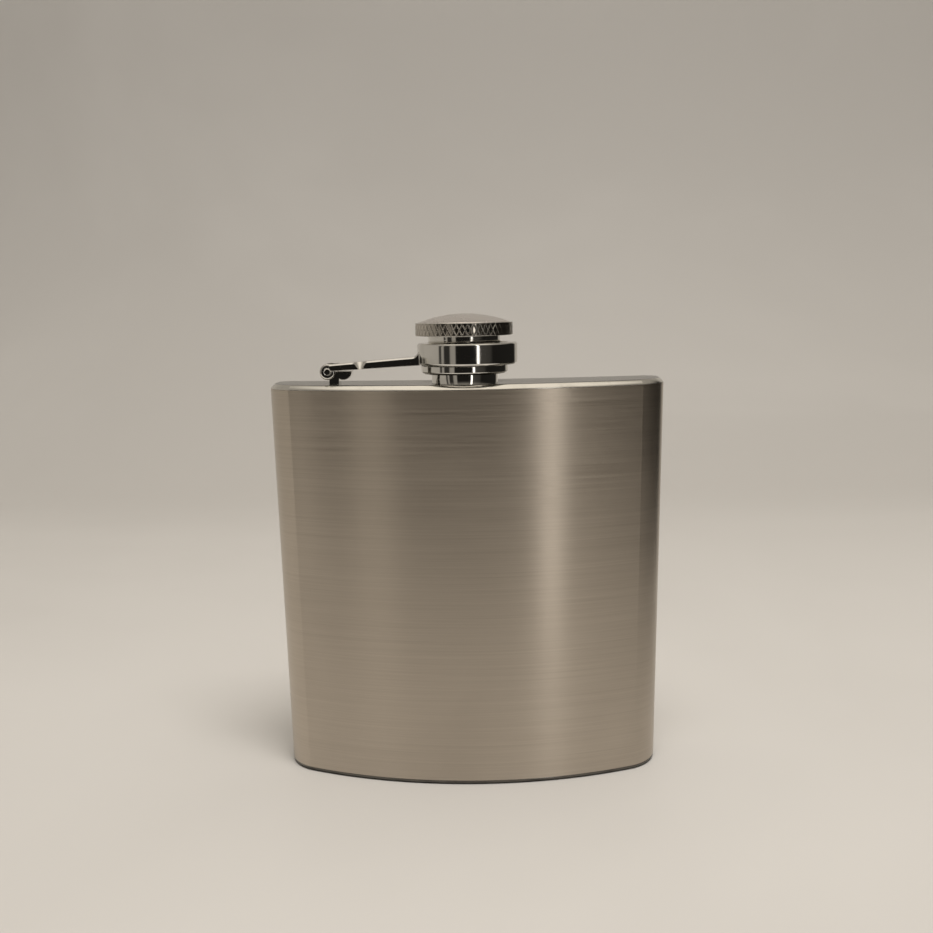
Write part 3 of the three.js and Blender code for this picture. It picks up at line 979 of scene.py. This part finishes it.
def gasket():
    radius = (SEAL_HIGH.x - SEAL_LOW.x) / 2
    profile = [(0, SEAL_LOW.z)]
    profile += filleted([(radius, SEAL_LOW.z, 0.25 * MM), (radius, SEAL_HIGH.z, 0.15 * MM),
                         (0, SEAL_HIGH.z, 0), (0, SEAL_LOW.z, 0)])[:-2]
    profile += [(0, SEAL_HIGH.z)]
    points, faces = turned(profile, NECK_AXIS, 96)
    return new_piece("seal", points, faces, SILICONE, "seal", ["cap_gasket"])


# Studio


def camera():
    """The view, slightly from above and a little from the right, with a small tilt."""
    distance, height = 269.4 * MM, 111.6 * MM
    pitch, roll, aside = math.radians(7.954), math.radians(1.052), math.radians(1.946)
    data = bpy.data.cameras.new("camera")
    data.sensor_width, data.lens = 36, 44.704823
    data.clip_start, data.clip_end = 0.01, 20
    turn = Matrix.Rotation(aside, 3, "Z")
    forward = turn @ Vector((0, math.cos(pitch), -math.sin(pitch)))
    up = turn @ Vector((0, math.sin(pitch), math.cos(pitch)))
    right = turn @ Vector((1, 0, 0))
    tilted_right = right * math.cos(roll) - up * math.sin(roll)
    tilted_up = up * math.cos(roll) + right * math.sin(roll)
    place = turn @ Vector((0, -distance, height)) + Vector((0, SHELL_LOW.y + MID_THICKNESS / 2, 0))
    stand = bpy.data.objects.new("camera", data)
    axes = Matrix((tilted_right, tilted_up, -forward)).transposed()
    stand.matrix_world = Matrix.Translation(place) @ axes.to_4x4()
    bpy.context.scene.collection.objects.link(stand)
    bpy.context.scene.camera = stand


# Floor and backdrop, in metres. The table is the part of the floor that shows in the steel.
FLOOR_REACH = 3.0
TABLE_FRONT, TABLE_LEFT, TABLE_RIGHT = -0.24, -0.4, 0.2
WALL, WALL_BEND, WALL_HEIGHT = 0.75, 0.35, 0.95


def floor_strip(name, left, right, front, back, material, in_reflections):
    """A strip of pale floor from front to back; where it ends at the wall it curves up into it."""
    side = [(front, 0.0)]
    if back < WALL:
        side.append((back, 0.0))
    else:
        side += arc((WALL - WALL_BEND, WALL_BEND), WALL_BEND, -math.pi / 2, 0, 24)
        side.append((WALL, WALL_HEIGHT))
    points = [(x, y, z) for y, z in side for x in (left, right)]
    faces = [(2 * i, 2 * i + 1, 2 * i + 3, 2 * i + 2) for i in range(len(side) - 1)]
    mesh = bpy.data.meshes.new(name)
    mesh.from_pydata(points, [], faces)
    mesh.polygons.foreach_set("use_smooth", [True] * len(mesh.polygons))
    mesh.materials.append(material)
    sheet = bpy.data.objects.new(name, mesh)
    sheet.visible_glossy = in_reflections
    bpy.context.scene.collection.objects.link(sheet)


def floor():
    """A pale floor that curves up into a backdrop. Only the table part shows in the steel."""
    material, tree, shader = blank_material("pale_floor")
    marks = use_group(tree, HANDLING_MARKS, Size=0.4, Seed=11.0)
    wire(tree, tone(tree, marks.outputs["Mask"], (0.60, 0.582, 0.557), (0.64, 0.622, 0.597)),
         shader.inputs["Base Color"])
    shader.inputs["Roughness"].default_value = 0.5
    far = FLOOR_REACH
    floor_strip("table", TABLE_LEFT, TABLE_RIGHT, TABLE_FRONT, far, material, True)
    floor_strip("floor_front", -far, far, -far, TABLE_FRONT, material, False)
    floor_strip("floor_left", -far, TABLE_LEFT, TABLE_FRONT, far, material, False)
    floor_strip("floor_right", TABLE_RIGHT, far, TABLE_FRONT, far, material, False)


WARM_WHITE = (1, 0.96, 0.91)


def softbox(name, azimuth, distance, height, size, power, in_reflections=True):
    """A soft panel of light that faces the flask. Azimuth 0 is in front, and it grows towards +X."""
    data = bpy.data.lights.new(name, "AREA")
    data.shape = "RECTANGLE"
    data.size, data.size_y = size
    data.energy = power
    data.color = WARM_WHITE
    a = math.radians(azimuth)
    place = Vector((distance * math.sin(a), -distance * math.cos(a), height))
    light = bpy.data.objects.new(name, data)
    aim = (Vector((0, 0, 0.06)) - place).to_track_quat("-Z", "Y")
    light.matrix_world = Matrix.Translation(place) @ aim.to_matrix().to_4x4()
    light.visible_camera = False
    light.visible_glossy = in_reflections
    bpy.context.scene.collection.objects.link(light)
    return light


ROOM_TINT = (1, 0.92, 0.80)


def ramp_of(tree, value, stops):
    """A colour ramp from (position, brightness) stops, tinted like the warm room."""
    ramp = node(tree, "ShaderNodeValToRGB")
    wire(tree, value, ramp.inputs[0])
    elements = ramp.color_ramp.elements
    while len(elements) < len(stops):
        elements.new(0.5)
    for element, (position, level) in zip(elements, stops):
        element.position = position
        element.color = (*(level * tint for tint in ROOM_TINT), 1)
    return ramp.outputs[0]


# Brightness of the room's walls by angle, which is 0 in front of the flask and grows towards +X,
# and of its ceiling by steepness. The ceiling has a dark beam high in front and behind, and none at
# the sides.
WALLS = [(-180, 0.5), (-128, 0.42), (-68, 0.38), (-65, 0.04), (-61, 0.04), (-59, 0.3), (-55, 0.3),
         (-52, 0.03), (-40, 0.03), (-37, 0.28), (-27, 0.3), (-24, 0.012), (21, 0.012), (23, 0.08),
         (32, 0.06), (55, 0.04), (62, 0.012), (136, 0.015), (146, 0.42), (180, 0.5)]
CEILING = [(0, 0), (0.3, 0), (0.5, 0.35), (0.8, 0.35), (0.91, 1), (1, 1)]
BEAMED_CEILING = [(0, 0), (0.3, 0), (0.5, 0.35), (0.72, 0.35), (0.76, 0.06), (0.86, 0.06),
                  (0.91, 1), (1, 1)]
BACKGROUND = (0.48, 0.455, 0.42, 1)


def room_light():
    """The dim room round the flask: dark in front and to the right, pale to the left and behind."""
    world = bpy.data.worlds.new("room")
    bpy.context.scene.world = world
    world.use_nodes = True
    tree = world.node_tree
    place = node(tree, "ShaderNodeTexCoord")
    parts = feed(tree, node(tree, "ShaderNodeSeparateXYZ"), Vector=place.outputs["Generated"])
    x, y, z = parts.outputs
    azimuth = math_node(tree, "ARCTAN2", x, math_node(tree, "MULTIPLY", y, -1.0))
    share = math_node(tree, "MULTIPLY_ADD", azimuth, 0.5 / math.pi, 0.5)
    sides = ramp_of(tree, share, [((angle + 180) / 360, level) for angle, level in WALLS])
    beamed = ramp_of(tree, z, BEAMED_CEILING)
    plain = ramp_of(tree, z, CEILING)
    aside = ranged(tree, math_node(tree, "ABSOLUTE", x), 0.0, 1.0, 0.3, 0.45)
    above = blend(tree, aside, beamed, plain)
    cover = ranged(tree, z, 0.0, 1.0, 0.3, 0.7, "SMOOTHSTEP")
    room = blend(tree, cover, sides, above)
    rays = node(tree, "ShaderNodeLightPath")
    seen = blend(tree, rays.outputs["Is Camera Ray"], room, BACKGROUND)
    wire(tree, seen, tree.nodes["Background"].inputs["Color"])


def lights():
    """A soft key light, and a tall strip at the right that shines on the flask alone."""
    flask = bpy.data.collections.new("lit_by_strip")
    for piece in bpy.context.scene.objects:
        if piece.type == "MESH":
            flask.objects.link(piece)
    softbox("key", azimuth=20, distance=0.4, height=1.0,
            size=(0.5, 0.5), power=9, in_reflections=False)
    strip = softbox("right_strip", azimuth=26, distance=1.3, height=0.45,
                    size=(0.14, 1.5), power=1.35)
    strip.light_linking.receiver_collection = flask


body_skin()
lid()
foot()
neck()
hinge_bracket()
hinge_pin()
swing_arm()
collar()
retaining_flange()
cap_head()
cap_dome()
thread_insert()
gasket()
camera()
lights()
floor()
room_light()
bpy.context.scene.view_settings.view_transform = "Standard"
